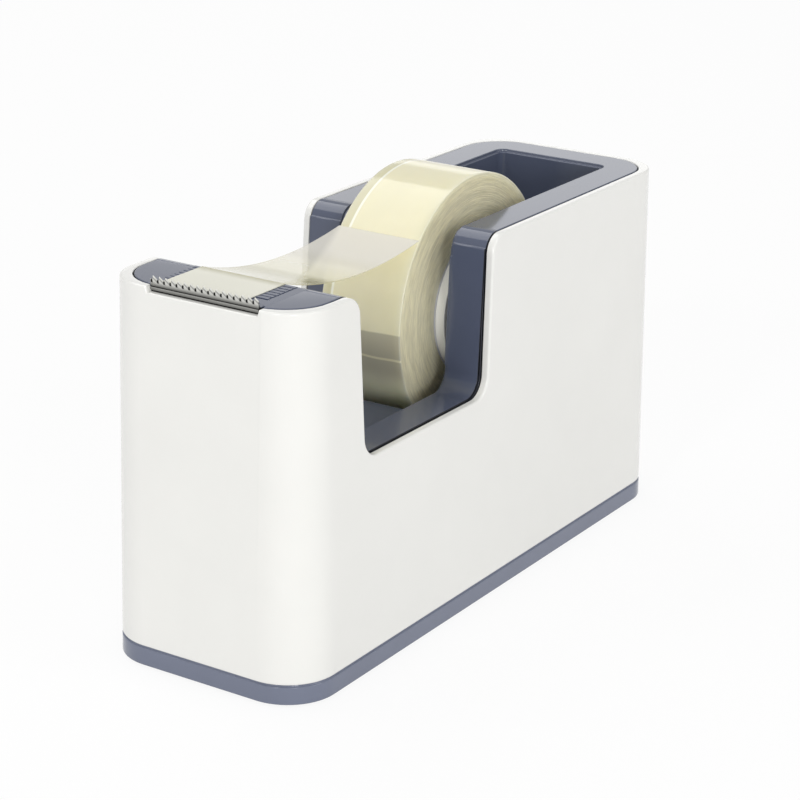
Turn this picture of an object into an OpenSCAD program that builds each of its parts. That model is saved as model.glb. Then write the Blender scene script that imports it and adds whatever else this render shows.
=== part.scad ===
// Weighted desktop tape dispenser: white outer shell, blue-grey liner with a roll well,
// serrated steel cutter, weighted base, and a spool that lifts out and spins on its axle.
// Millimetres. +X across the width, the cutter end faces -Y, +Z up, origin under the middle.

/* [Body] */
// Width of the body where it stands
body_w = 47.8; // [46.4:0.2:60]
// Length of the body where it stands
body_l = 140; // [134:1:165]
// Height of the deck and the rear rim
body_h = 76.4; // [74.4:0.2:90]
// Radius of the upright corners where the body stands
corner_r = 10.5; // [9:0.5:12]
// Extra radius of the shell's inner corners and the liner's corners
corner_ease = 2; // [0.5:0.1:2.4]
// How far each wall leans in between the bottom and the top
draft = 1.2; // [0.4:0.1:1.6]
// Wall thickness of the outer shell
shell_wall = 1.6; // [1.4:0.1:2.4]
// Wall thickness of the liner
liner_wall = 2; // [1.6:0.1:2.4]
// Gap between the shell and the liner
seam_gap = 0.3; // [0.1:0.05:0.4]

/* [Side cut] */
// Front edge of the U-shaped cut at its floor, along Y
cut_front_y = -48.4; // [-50:0.2:-46]
// Rear edge of the U-shaped cut at its floor, along Y
cut_rear_y = -5.1; // [-12:0.1:-3]
// Height of the cut's floor
cut_floor_z = 43.5; // [40:0.1:50]
// Lean of the cut's front and rear edges, in degrees
cut_lean = 3; // [1:0.2:5]
// Radius of the cut's lower corners
cut_floor_r = 4.5; // [3:0.5:7]
// Radius of the shoulders at the top of the cut
cut_top_r = 5; // [4:0.5:6]

/* [Well] */
// Room between the tape's sides and the well's walls
side_room = 3.4; // [3.4:0.1:4]
// Rear wall of the well, along Y
well_rear_y = 59; // [52:0.5:60]
// Height of the well's floor
well_floor_z = 27; // [25:0.5:28]
// Radius of the well's rear corners
well_corner_r = 1.5; // [1:0.5:5]
// Width of the step round the well's mouth
mouth_w = 0.6; // [0.3:0.1:1]
// Depth of the step round the well's mouth
mouth_d = 0.6; // [0.3:0.1:1]

/* [Tape and spool] */
// Width of the tape
tape_w = 19; // [18:0.5:19.5]
// Outer diameter of the tape roll
roll_d = 54.6; // [40:0.2:55]
// Outer diameter of the tape's core
core_d = 29; // [28:0.2:31]
// Wall thickness of the tape's core
core_wall = 1.5; // [1:0.1:1.8]
// Axle's place along Y
axle_y = 12.5; // [11:0.1:16]
// Axle's height
axle_z = 56.1; // [56:0.1:60]
// Axle's diameter
axle_d = 6; // [5:0.2:7]
// Thickness of the cradle ribs that carry the axle's ends
cradle_t = 1.5; // [1.2:0.1:1.5]
// How far the roll sits from the middle of the well, along X
roll_shift = -1.1; // [-1.1:0.1:1.1]
// Film thickness of the free tape
film_t = 0.25; // [0.15:0.05:0.4]
// Angle on the roll where the tape peels off, from +Y
peel_angle = 139; // [132:1:145]
// How far the free tape hangs below a straight line between its ends
film_sag = 2.8; // [1:0.1:3]

/* [Deck and cutter] */
// Room between the tape's sides and the sunk channel's sides
channel_room = 2.2; // [2.2:0.1:2.4]
// Depth of the sunk tape channel
channel_depth = 1.3; // [1:0.1:1.6]
// Number of grip ribs in the channel
rib_count = 7; // [5:1:8]
// Distance from rib to rib
rib_pitch = 1.5; // [1.3:0.1:1.6]
// Height of the grip ribs
rib_h = 0.9; // [0.4:0.1:0.9]
// How far the channel and the cutter sit from the middle, along X
cutter_shift = 0.8; // [-0.8:0.1:0.8]
// How far the cutter blade reaches past each side of the tape
blade_over = 2.5; // [2:0.1:3]
// Thickness of the cutter blade
blade_t = 0.6; // [0.4:0.1:0.7]
// Number of teeth on the blade
tooth_count = 17; // [13:1:21]
// Depth of the teeth
tooth_depth = 1.6; // [1:0.1:2]
// Forward lean of the toothed edge, in degrees
blade_lean = 37; // [25:1:45]
// Length of the leaning part of the blade
blade_reach = 4; // [3.4:0.1:4.4]

/* [Base] */
// Height of the base skirt
base_h = 4; // [3.6:0.2:6]
// Depth of the shadow groove under the shell
groove = 0.4; // [0.2:0.1:0.6]
// How far the feet stand proud of the base
foot_out = 0.5; // [0.3:0.1:1]
// Diameter of each rubber foot
foot_d = 10; // [8:0.5:12]
// Thickness of each rubber foot
foot_t = 2; // [1.6:0.1:2.4]
// Thread diameter of the base screws
screw_d = 3; // [2.5:0.1:3.4]
// Width of the ballast block
ballast_w = 26; // [20:0.5:27]
// Length of the ballast block
ballast_l = 80; // [60:1:82]
// Height of the ballast block
ballast_h = 14; // [10:0.5:16]

/* [Hidden] */
$fn = 96;

// Clearances, and how far a round corner stands proud of the flats it joins
over = 1;
corner_proud = 0.01;
run_gap = 0.06;
part_gap = 0.1;
film_gap = 0.3;
seat_gap = 0.2;

// Colours
WHITE = [0.95, 0.95, 0.93];
SLATE = [0.47, 0.50, 0.58];
STEEL = [0.75, 0.75, 0.73];
DARK = [0.15, 0.15, 0.16];
PALE = [0.88, 0.88, 0.87];
YELLOW = [0.86, 0.83, 0.68];

// Heights of the stacked pieces
base_top = foot_out + base_h;
ledge_t = 2;
ledge_w = 2.4;
liner_foot = base_top + ledge_t;
liner_inset = shell_wall + seam_gap;

// Top outline of the liner: its front face and its sides
liner_front = -(body_l/2 - draft - liner_inset);
liner_side = body_w/2 - draft - liner_inset;

// Well and channel, both as wide as the tape and their room
well_w = tape_w + 2*side_room;
channel_w = tape_w + 2*channel_room;

// Deck channel, thickened underneath, and the grip ribs behind the blade
channel_z = body_h - channel_depth;
deck_t = channel_depth + liner_wall;
rib_w = 0.8;
rib_setback = 3.4;
rib_front_y = liner_front + rib_setback;
film_z = channel_z + rib_h + part_gap;

// Rear end of the channel's floor, on the front shoulder of the cut
shoulder_y = cut_front(body_h - cut_top_r, 0) - cut_top_r/cos(cut_lean);
channel_end_y = shoulder_y + sqrt(pow(cut_top_r, 2) - pow(cut_top_r - channel_depth, 2));

// Cutter blade: an upright web in a pocket of the liner's front, with a leaning toothed edge
web_back = liner_front + blade_t + seam_gap;
blade_l = tape_w + 2*blade_over;
web_drop = 10;
bend_drop = 1;
web_foot = body_h - web_drop;
bend_z = body_h - bend_drop;
notch_depth = 1;
peg_d = 2.4;
peg_inset = 5;
peg_drop = 6;
peg_x = blade_l/2 - peg_inset;
peg_z = body_h - peg_drop;

// Raised flats on the strips' leaning faces
face_proud = 0.3;
face_gap = 0.4;

// Fasteners and feet
boss_d = 7;
boss_h = 16;
boss_room = 1;
boss_top = liner_foot + boss_h;
head_d = 5.6;
head_t = 1.8;
head_seat = foot_out + head_t + seat_gap;
screw_l = 12;
screw_inset = draft + shell_wall + ledge_w + boss_room + boss_d/2;
screw_x = body_w/2 - screw_inset;
screw_y = body_l/2 - screw_inset;
foot_room = 3;
foot_y = screw_y - foot_d/2 - head_d/2 - foot_room;

// Spool
bore_r = axle_d/2 + run_gap;
cradle_wall = 2;
cradle_top = axle_z + axle_d/2 + cradle_wall;
hub_boss_wall = 2.1;
hub_boss_r = bore_r + hub_boss_wall;
hub_rim_r = core_d/2 - core_wall - part_gap;
hub_rim_t = 1.4;
flange_r = core_d/2 - 2*part_gap;
flange_t = 0.5;
window_count = 6;

// Ballast fence on the base
fence_t = 1.5;
fence_h = 3;

// Half width, half length and corner radius of the body at a height
function half_w(z) = body_w/2 - draft*z/body_h;
function half_l(z) = body_l/2 - draft*z/body_h;
function round_r(z) = corner_r - draft*z/body_h;

// Front and rear edges of the U-shaped cut at a height, grown outwards by g
function cut_front(z, g) = cut_front_y - (z - cut_floor_z)*tan(cut_lean) - g/cos(cut_lean);
function cut_rear(z, g) = cut_rear_y + (z - cut_floor_z)*tan(cut_lean) + g/cos(cut_lean);

// Extrudes a Y-Z outline along X, centred on the width
module across(w) {
    rotate([90, 0, 90]) linear_extrude(w, center = true) children();
}

// Box with upright round corners whose walls lean in by d over its height
module drafted_box(w, l, r, h, d) {
    rotate([90, 0, 0])
        linear_extrude(l - 2*r, center = true)
            polygon([[-w/2, 0], [w/2, 0], [w/2 - d, h], [d - w/2, h]]);
    across(w - 2*r)
        polygon([[-l/2, 0], [l/2, 0], [l/2 - d, h], [d - l/2, h]]);
    for (sx = [-1, 1], sy = [-1, 1])
        translate([sx*(w/2 - r), sy*(l/2 - r), 0])
            cylinder(h = h, r1 = r + corner_proud, r2 = r - d + corner_proud);
}

// The body's own drafted form between two heights, set in from its outer face
module body_block(inset, z0, z1, ease = 0) {
    translate([0, 0, z0])
        drafted_box(2*(half_w(z0) - inset), 2*(half_l(z0) - inset), round_r(z0) - inset + ease,
                    z1 - z0, draft*(z1 - z0)/body_h);
}

// Outline of the U-shaped cut, grown by g: leaning edges, round lower corners, round shoulders
module cut_outline(g) {
    low_r = cut_floor_r + g;
    top_r = cut_top_r - g;
    floor_z = cut_floor_z - g;
    top_z = body_h - g;
    low_z = floor_z + low_r;
    high_z = top_z - top_r;
    c = cos(cut_lean);
    s = sin(cut_lean);
    low_y = [cut_front(low_z, g) + low_r/c, cut_rear(low_z, g) - low_r/c];
    high_y = [cut_front(high_z, g) - top_r/c, cut_rear(high_z, g) + top_r/c];
    difference() {
        polygon([[high_y[0], top_z + over], [high_y[0], top_z],
                 [high_y[0] + top_r*c, high_z + top_r*s],
                 [low_y[0] - low_r*c, low_z - low_r*s], [low_y[0], floor_z],
                 [low_y[1], floor_z], [low_y[1] + low_r*c, low_z - low_r*s],
                 [high_y[1] - top_r*c, high_z + top_r*s],
                 [high_y[1], top_z], [high_y[1], top_z + over]]);
        for (y = high_y) translate([y, high_z]) circle(top_r + corner_proud);
    }
    for (y = low_y) translate([y, low_z]) circle(low_r + corner_proud);
}

// Side view of what lies under the saddle-shaped top, lowered by g
module saddle_outline(g) {
    difference() {
        translate([-body_l, 0]) square([2*body_l, body_h - g]);
        cut_outline(g);
    }
}

// Places its children at the four screw or foot places
module at_corners(x, y) {
    for (sx = [-1, 1], sy = [-1, 1]) translate([sx*x, sy*y, 0]) children();
}

// White shell: drafted walls with an inner ledge, the cut through both sides, a notch at the cutter
module outer_shell() {
    color(WHITE) difference() {
        body_block(0, base_top, body_h);
        body_block(shell_wall, liner_foot, body_h + over, corner_ease);
        body_block(shell_wall + ledge_w, base_top - over, liner_foot + over);
        across(body_w + 2*over) cut_outline(0);
        translate([cutter_shift, liner_front + over, 0])
            rotate([90, 0, 0])
                linear_extrude(shell_wall + draft + 3*over)
                    polygon([[-blade_l/2 - seam_gap, body_h - notch_depth],
                             [blade_l/2 + seam_gap, body_h - notch_depth],
                             [blade_l/2 + seam_gap + notch_depth + over, body_h + over],
                             [-blade_l/2 - seam_gap - notch_depth - over, body_h + over]]);
    }
}

// Pocket that holds the roll, with round rear corners
module well_space(grow) {
    w = well_w + 2*grow;
    r = well_corner_r + grow;
    front = cut_front_y - grow;
    rear = well_rear_y + grow;
    floor_z = well_floor_z - grow;
    h = body_h - floor_z + over;
    translate([-w/2, front, floor_z]) cube([w, rear - r - front, h]);
    translate([r - w/2, rear - r - over, floor_z]) cube([w - 2*r, r + over, h]);
    for (sx = [-1, 1])
        translate([sx*(w/2 - r), rear - r, floor_z]) cylinder(h = h, r = r);
}

// Raised flats on the strips' leaning faces, from the lower corners to the shoulders
module strip_faces() {
    low_z = cut_floor_z + cut_floor_r + face_gap;
    high_z = body_h - cut_top_r - face_gap;
    w = 2*(half_w(high_z) - liner_inset - face_gap);
    across(w) {
        polygon([[cut_front(low_z, over), low_z], [cut_front(low_z, -face_proud), low_z],
                 [cut_front(high_z, -face_proud), high_z], [cut_front(high_z, over), high_z]]);
        polygon([[cut_rear(low_z, over), low_z], [cut_rear(low_z, -face_proud), low_z],
                 [cut_rear(high_z, -face_proud), high_z], [cut_rear(high_z, over), high_z]]);
    }
}

// Ribs on the well's sides with round-bottomed notches, open upwards, for the ends of the axle
module cradle_ribs() {
    w = 2*(bore_r + cradle_wall);
    difference() {
        for (sx = [-1, 1])
            translate([sx*(well_w/2 - cradle_t/2 + part_gap/2), axle_y,
                       (well_floor_z + cradle_top - part_gap)/2])
                cube([cradle_t + part_gap, w, cradle_top - well_floor_z + part_gap], center = true);
        translate([-well_w/2, axle_y - bore_r, axle_z]) cube([well_w, 2*bore_r, cradle_top]);
        translate([-well_w/2, axle_y, axle_z]) rotate([0, 90, 0]) cylinder(h = well_w, r = bore_r);
    }
}

// Row of grip ribs across the tape channel
module grip_ribs() {
    for (i = [0 : rib_count - 1])
        translate([cutter_shift - channel_w/2 - part_gap, rib_front_y + i*rib_pitch, channel_z - part_gap])
            cube([channel_w + 2*part_gap, rib_w, rib_h + part_gap]);
}

// Blue-grey liner: deck, saddle strips and rear rim in one skin, with the well tub inside
module well_liner() {
    color(SLATE) {
        difference() {
            union() {
                intersection() {
                    body_block(liner_inset, liner_foot, body_h, corner_ease);
                    across(body_w) saddle_outline(0);
                    union() {
                        difference() {
                            body_block(liner_inset - part_gap, liner_foot - over, body_h + over, corner_ease);
                            intersection() {
                                body_block(liner_inset + liner_wall, liner_foot - 2*over, body_h, corner_ease);
                                across(body_w) saddle_outline(liner_wall);
                            }
                        }
                        well_space(liner_wall);
                        translate([cutter_shift - channel_w/2 - liner_wall, liner_front, body_h - deck_t])
                            cube([channel_w + 2*liner_wall, cut_front_y - liner_front, deck_t]);
                    }
                }
                strip_faces();
                at_corners(screw_x, screw_y)
                    translate([0, 0, liner_foot]) cylinder(h = boss_top - liner_foot, d = boss_d);
                for (sx = [-1, 1], sy = [-1, 1])
                    translate([sx*(screw_x + liner_side)/2, sy*screw_y, (liner_foot + boss_top)/2])
                        cube([liner_side - screw_x, liner_wall, boss_top - liner_foot], center = true);
                for (sy = [-1, 1])
                    translate([-ballast_w/2, sy*ballast_l/3 - liner_wall/2, base_top + ballast_h + part_gap])
                        cube([ballast_w, liner_wall,
                              well_floor_z - base_top - ballast_h - part_gap - liner_wall/2]);
            }
            well_space(0);
            intersection() {
                well_space(mouth_w);
                translate([-body_w, cut_rear_y, body_h - mouth_d]) cube([2*body_w, body_l, mouth_d + over]);
            }
            translate([cutter_shift - channel_w/2, liner_front - over, channel_z])
                cube([channel_w, cut_front_y - liner_front + over, channel_depth + over]);
            translate([cutter_shift - blade_l/2 - seam_gap, liner_front - over, web_foot - seam_gap])
                cube([blade_l + 2*seam_gap, web_back - liner_front + over, body_h - web_foot + over]);
            at_corners(screw_x, screw_y)
                translate([0, 0, head_seat]) cylinder(h = screw_l + seat_gap, d = screw_d);
        }
        cradle_ribs();
        intersection() {
            grip_ribs();
            across(body_w) saddle_outline(0);
        }
        for (sx = [-1, 1])
            translate([cutter_shift + sx*peg_x, web_back + part_gap, peg_z])
                rotate([90, 0, 0]) cylinder(h = blade_t + part_gap, d = peg_d);
    }
}

// Side view of the blade: upright web, then the toothed edge leaning forward
module blade_outline() {
    s = sin(blade_lean);
    c = cos(blade_lean);
    miter = blade_t*tan(blade_lean/2);
    front = web_back - blade_t;
    polygon([[web_back, web_foot], [front, web_foot], [front, bend_z],
             [front - blade_reach*s, bend_z + blade_reach*c],
             [front - blade_reach*s + blade_t*c, bend_z + blade_reach*c + blade_t*s],
             [web_back, bend_z + miter]]);
}

// Serrated steel cutter hung on two pegs
module cutter_blade() {
    pitch = blade_l/tooth_count;
    front = web_back - blade_t;
    color(STEEL) translate([cutter_shift, 0, 0]) difference() {
        across(blade_l) blade_outline();
        translate([0, front, bend_z])
            rotate([blade_lean, 0, 0])
                for (i = [0 : tooth_count])
                    translate([-blade_l/2 + i*pitch, 2*over, blade_reach])
                        rotate([90, 0, 0])
                            linear_extrude(4*over)
                                polygon([[0, -tooth_depth], [pitch/2 + pitch/20, tooth_depth/10],
                                         [-pitch/2 - pitch/20, tooth_depth/10]]);
        for (sx = [-1, 1])
            translate([sx*peg_x, web_back + over, peg_z])
                rotate([90, 0, 0]) cylinder(h = blade_t + 2*over, d = peg_d + 2*part_gap);
    }
}

// Base skirt and plate, with posts for the screws and a fence round the ballast
module base_plate() {
    fence_w = ballast_w + 2*seat_gap + 2*fence_t;
    fence_l = ballast_l + 2*seat_gap + 2*fence_t;
    color(SLATE) difference() {
        union() {
            body_block(0, foot_out, base_top - groove);
            body_block(groove, base_top - groove, base_top);
            at_corners(screw_x, screw_y)
                translate([0, 0, base_top - groove]) cylinder(h = ledge_t + groove, d = boss_d);
            difference() {
                translate([-fence_w/2, -fence_l/2, base_top - groove])
                    cube([fence_w, fence_l, fence_h + groove]);
                translate([fence_t - fence_w/2, fence_t - fence_l/2, base_top])
                    cube([fence_w - 2*fence_t, fence_l - 2*fence_t, fence_h + over]);
            }
        }
        at_corners(screw_x, screw_y) {
            cylinder(h = liner_foot + over, d = screw_d + 2*part_gap);
            cylinder(h = head_seat, d = head_d + 2*seat_gap);
        }
        at_corners(screw_x, foot_y) cylinder(h = foot_t, d = foot_d + 2*part_gap);
    }
}

// Steel weight on the base
module ballast_block() {
    color(DARK)
        translate([-ballast_w/2, -ballast_l/2, base_top]) cube([ballast_w, ballast_l, ballast_h]);
}

// Four pan-head screws from below, through the base into the liner's bosses
module base_screws() {
    color(STEEL) at_corners(screw_x, screw_y) {
        difference() {
            translate([0, 0, head_seat - head_t]) cylinder(h = head_t, d = head_d);
            for (a = [0, 90])
                rotate([0, 0, a])
                    translate([-head_d/3, -head_d/14, head_seat - head_t - over])
                        cube([2*head_d/3, head_d/7, head_t/2 + over]);
        }
        translate([0, 0, head_seat]) cylinder(h = screw_l, d = screw_d - 2*run_gap);
    }
}

// One rubber foot pressed into its recess
module foot(sx, sy) {
    color(DARK) translate([sx*screw_x, sy*foot_y, 0]) cylinder(h = foot_t, d = foot_d);
}

module foot_front_left() foot(-1, -1);
module foot_front_right() foot(1, -1);
module foot_rear_left() foot(-1, 1);
module foot_rear_right() foot(1, 1);

// Turns a profile of radius and distance along X about the axle
module about_axle(shift) {
    translate([shift, axle_y, axle_z]) rotate([90, 0, 90]) rotate_extrude() children();
}

// Axle whose ends rest in the cradle ribs
module axle() {
    reach = well_w/2 - seat_gap;
    color(PALE) about_axle(0) translate([0, -reach]) square([axle_d/2, 2*reach]);
}

// Half of the hub on the +X side: boss, web with windows, rim and end flange
module hub_half() {
    half = tape_w/2 + part_gap;
    difference() {
        rotate([90, 0, 90])
            rotate_extrude()
                polygon([[bore_r, 0], [hub_boss_r, 0], [hub_boss_r, half - flange_t],
                         [hub_rim_r - hub_rim_t, half - flange_t], [hub_rim_r - hub_rim_t, 0],
                         [hub_rim_r, 0], [hub_rim_r, half], [flange_r, half],
                         [flange_r, half + flange_t], [bore_r, half + flange_t]]);
        for (i = [0 : window_count - 1])
            rotate([i*360/window_count, 0, 0])
                translate([half - 2*flange_t, 0, (hub_boss_r + hub_rim_r - hub_rim_t)/2])
                    rotate([0, 90, 0]) cylinder(h = 4*flange_t, r = (hub_rim_r - hub_rim_t - hub_boss_r)/3);
    }
}

module hub_right() {
    color(PALE) translate([roll_shift, axle_y, axle_z]) hub_half();
}

module hub_left() {
    color(PALE) translate([roll_shift, axle_y, axle_z]) mirror([1, 0, 0]) hub_half();
}

// Plastic core that the tape is wound on
module tape_core() {
    color(WHITE) about_axle(roll_shift)
        translate([core_d/2 - core_wall, -tape_w/2]) square([core_wall, tape_w]);
}

// The wound tape
module tape_roll() {
    color(YELLOW) about_axle(roll_shift)
        translate([core_d/2 + run_gap, -tape_w/2]) square([roll_d/2 - core_d/2 - run_gap, tape_w]);
}

// Free tape: a slack curve from the roll to the deck's rear edge, then flat over the ribs to the blade
module tape_strip() {
    peel_r = roll_d/2 + film_gap;
    start = [axle_y + peel_r*cos(peel_angle), axle_z + peel_r*sin(peel_angle)];
    land = [channel_end_y, film_z];
    tip = [web_back + seat_gap + blade_t, film_z];
    mid = (start[0] + land[0])/2;
    steps = 24;
    // Cubic curve with both handles at the height that makes its middle hang by film_sag
    handle_z = (start[1] + land[1])/2 - 4*film_sag/3;
    handle_y = [mid + (start[0] - mid)/3, mid + (land[0] - mid)/3];
    function curve(t) = pow(1 - t, 3)*start + 3*t*pow(1 - t, 2)*[handle_y[0], handle_z]
                        + 3*t*t*(1 - t)*[handle_y[1], handle_z] + pow(t, 3)*land;
    line = concat([for (i = [0 : steps]) curve(i/steps)], [tip]);
    color(YELLOW) translate([roll_shift, 0, 0]) across(tape_w)
        polygon(concat(line, [for (i = [len(line) - 1 : -1 : 0]) line[i] + [0, film_t]]));
}

outer_shell();
well_liner();
cutter_blade();
base_plate();
ballast_block();
base_screws();
foot_front_left();
foot_front_right();
foot_rear_left();
foot_rear_right();
axle();
hub_left();
hub_right();
tape_core();
tape_roll();
tape_strip();
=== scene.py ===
"""Looks of a weighted desktop tape dispenser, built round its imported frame. Lengths are in metres."""

import math

import bmesh
import bpy
import numpy as np
from bpy.props import FloatProperty, FloatVectorProperty, IntProperty, PointerProperty
from bpy.types import Operator, Panel, PropertyGroup
from mathutils import Matrix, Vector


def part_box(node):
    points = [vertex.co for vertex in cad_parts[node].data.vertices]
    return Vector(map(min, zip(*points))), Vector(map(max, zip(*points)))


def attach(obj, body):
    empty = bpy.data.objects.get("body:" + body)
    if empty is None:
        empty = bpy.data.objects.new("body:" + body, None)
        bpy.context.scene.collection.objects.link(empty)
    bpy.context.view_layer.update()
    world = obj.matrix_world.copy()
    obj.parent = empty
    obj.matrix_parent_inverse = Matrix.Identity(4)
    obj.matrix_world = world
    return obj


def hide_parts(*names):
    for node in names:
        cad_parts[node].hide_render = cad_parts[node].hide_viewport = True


bl_info = {
    "name": "Desktop Tape Dispenser",
    "version": (1, 0, 0),
    "blender": (4, 5, 0),
    "location": "View3D > Sidebar > Dispenser",
    "description": "Dresses a weighted desktop tape dispenser: shell, liner, cutter, spool and free tape",
    "category": "Object",
}

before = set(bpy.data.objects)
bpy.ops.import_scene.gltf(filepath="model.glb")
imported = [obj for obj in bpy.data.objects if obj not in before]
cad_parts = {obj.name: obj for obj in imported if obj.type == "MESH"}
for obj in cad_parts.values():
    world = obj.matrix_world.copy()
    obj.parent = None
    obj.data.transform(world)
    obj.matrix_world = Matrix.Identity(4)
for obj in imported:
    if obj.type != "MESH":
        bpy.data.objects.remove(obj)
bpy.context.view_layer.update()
MM = 0.001
QUARTER = math.pi / 2

# Places taken from the frame: low and high corners of boxes, the axle's line and two radii
SHELL_LOW, SHELL_HIGH = np.array(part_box("outer_shell"))
ROLL_LOW, ROLL_HIGH = np.array(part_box("tape_roll"))
CORE_LOW, CORE_HIGH = np.array(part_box("tape_core"))
STRIP_LOW, STRIP_HIGH = np.array(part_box("tape_strip"))
BLADE_LOW, BLADE_HIGH = np.array(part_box("cutter_blade"))
AXLE_Y, AXLE_Z = ((ROLL_LOW + ROLL_HIGH) / 2)[1:]
ROLL_R = (ROLL_HIGH[2] - ROLL_LOW[2]) / 2
CORE_R = (CORE_HIGH[2] - CORE_LOW[2]) / 2
TOP_Z = SHELL_HIGH[2]
BASE_TOP = SHELL_LOW[2]

# Notch and tip of a tooth, as shares of the pitch from the cutter's left end
TOOTH_NOTCH, TOOTH_TIP = 0.21, 0.5

# Height at which the cutter's toothed face rises from its lip
BLADE_ROOT = float(TOP_Z) - 0.25 * MM

# Thickness of the skins and bars that are laid over the liner
SKIN_DEPTH = 1.2 * MM

# Rows of the free tape from the roll to the deck
FREE_ROWS = 60

# Point that the lamps face
LAMP_AIM = (0.0, 0.0, 0.05)


def size(name, length, description):
    """A length that a user may change, given in millimetres and kept in metres."""
    return FloatProperty(name=name, default=length * MM, description=description, subtype="DISTANCE",
                         unit="LENGTH", precision=5)


def turn(name, degrees, description):
    """An angle that a user may change."""
    return FloatProperty(name=name, default=math.radians(degrees), description=description, subtype="ANGLE")


def tint(name, rgb, description):
    """A colour that a user may change, in display values from 0 to 1."""
    return FloatVectorProperty(name=name, default=rgb, description=description, subtype="COLOR_GAMMA",
                               size=3, min=0.0, max=1.0)


class ShellSizes(PropertyGroup):
    """The white outer shell."""
    corner: size("Corner radius", 9.3, "Radius of the upright corners at the top")
    ease: size("Inner corner", 2.0, "Extra radius of the wall's inner corners")
    draft: size("Draft", 1.2, "How far the walls lean in from the bottom to the top")
    wall: size("Wall", 1.6, "Wall thickness")
    round_out: size("Outer rounding", 0.5, "Radius of the rim's outer edge")
    round_in: size("Inner rounding", 0.2, "Radius of the rim's inner edge")
    cut_front: size("Cut front", -48.4, "Front edge of the side cut at its floor, along Y")
    cut_rear: size("Cut rear", -5.1, "Rear edge of the side cut at its floor, along Y")
    cut_floor: size("Cut floor", 43.9, "Height of the side cut's floor")
    cut_lean: turn("Cut lean", 3.0, "Lean of the side cut's edges")
    cut_low_r: size("Lower corners", 4.5, "Radius of the side cut's lower corners")
    cut_top_r: size("Shoulders", 4.0, "Radius of the side cut's shoulders")
    notch_half: size("Notch", 12.3, "Half width of the notch under the cutter")
    notch_slope: size("Notch slope", 0.4, "Width of the notch's slanting ends")
    notch_depth: size("Notch depth", 1.2, "Depth of the notch under the cutter")
    colour: tint("Colour", (0.955, 0.953, 0.937), "White of the shell")


class LinerSizes(PropertyGroup):
    """The blue-grey liner and base."""
    soft_edge: size("Soft edge", 0.2, "Width of the bevel on moulded edges")
    arm_in: size("Arm inside", 13.5, "Inner edge of the arms beside the well, from the middle")
    arm_out: size("Arm outside", 20.88, "Outer edge of the arms, from the middle")
    crease: size("Crease", 2.75, "Depth of the crease below the rim, where the shoulder ends")
    proud: size("Face", 0.32, "How far the flat faces below the crease stand proud")
    ribs: IntProperty(name="Ribs", default=7, min=1, max=12, description="Number of ribs under the tape")
    rib_pitch: size("Rib pitch", 1.36, "Distance from one rib to the next")
    rib_width: size("Rib width", 1.0, "Width of a rib")
    rib_rise: size("Rib rise", 0.1, "Height of the ribs above the deck")
    rib_reach: size("Rib reach", 2.7, "How far the ribs reach past the tape's right edge")
    rib_end: size("Rib end", -53.3, "Rear edge of the rearmost rib, along Y")
    deck_left: size("Deck left", -10.4, "Left end of the deck before the ribs, along X")
    deck_right: size("Deck right", 13.2, "Right end of the deck, along X")
    well_half: size("Well", 12.88, "Half width of the shelf between the well's walls")
    shelf_end: size("Shelf end", -12.7, "Rear end of the shelf before the roll, along Y")
    shelf_drop: size("Shelf drop", 3.4, "Depth of the shelf below the saddle's floor")
    colour: tint("Colour", (0.335, 0.362, 0.440), "Blue-grey of the liner")
    base_colour: tint("Base colour", (0.450, 0.475, 0.550), "Blue-grey of the base")


class BladeSizes(PropertyGroup):
    """The serrated cutter."""
    teeth: IntProperty(name="Teeth", default=17, min=5, max=40, description="Number of teeth")
    tooth_depth: size("Tooth depth", 1.0, "Depth of the teeth")
    reach: size("Reach", 2.15, "Height of the toothed face above the lip")
    lean: turn("Lean", 8.0, "Forward lean of the toothed face")
    thick: size("Thickness", 0.5, "Thickness of the steel")
    ahead: size("Stand", 0.9, "How far the toothed face stands before the web")
    lip: size("Lip", 0.75, "Height of the lip under the toothed face")
    grind: size("Grind", 0.09, "Depth of the ground bevel along the teeth")
    colour: tint("Colour", (0.80, 0.80, 0.78), "Steel colour")


class TapeSizes(PropertyGroup):
    """The wound roll, its core and the free tape."""
    film: size("Film", 0.12, "Thickness of the free tape")
    peel: turn("Peel angle", 139.0, "Angle on the roll where the tape leaves it, from +Y")
    land: size("Landing", -53.4, "Where the free tape comes down on the deck, along Y")
    sag: size("Sag", 2.8, "How far the free tape hangs below a straight line between its ends")
    layers: IntProperty(name="Layers", default=64, min=8, max=200, description="Rings on the roll's sides")
    ripple: size("Ripple", 0.05, "Unevenness of the wound layers at the roll's sides")
    roll_colour: tint("Roll", (0.942, 0.920, 0.790), "Colour of the wound tape")
    film_colour: tint("Film colour", (0.810, 0.785, 0.590), "Colour of the single film")


class StageSizes(PropertyGroup):
    """Camera, floor and light."""
    eye: FloatVectorProperty(name="Camera", default=(0.256069, -0.398688, 0.206408), size=3,
                             subtype="TRANSLATION", description="Place of the camera")
    yaw: turn("Yaw", 32.791, "Camera's direction round the object")
    pitch: turn("Pitch", 19.695, "Camera's look down")
    roll: turn("Roll", 0.886, "Camera's tilt about its own line of sight")
    focal: FloatProperty(name="Focal length", default=109.566, unit="CAMERA",
                         description="Lens on a 36 mm sensor")


GROUPS = {"shell": ShellSizes, "liner": LinerSizes, "blade": BladeSizes, "tape": TapeSizes,
          "stage": StageSizes}


def sizes(group):
    """The scene's sizes of one group."""
    return getattr(bpy.context.scene, "dispenser_" + group)


def linear(colour):
    """Display values as scene-linear ones with full alpha, by the sRGB curve."""
    c = np.array(colour)
    return (*np.where(c > 0.04045, ((c + 0.055) / 1.055) ** 2.4, c / 12.92), 1.0)


def shaded(colour, factor):
    """A colour times a factor, or times one for each channel, no brighter than white, as scene-linear."""
    return linear(np.minimum(np.array(colour) * factor, 1.0))


# Shader expressions

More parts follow.
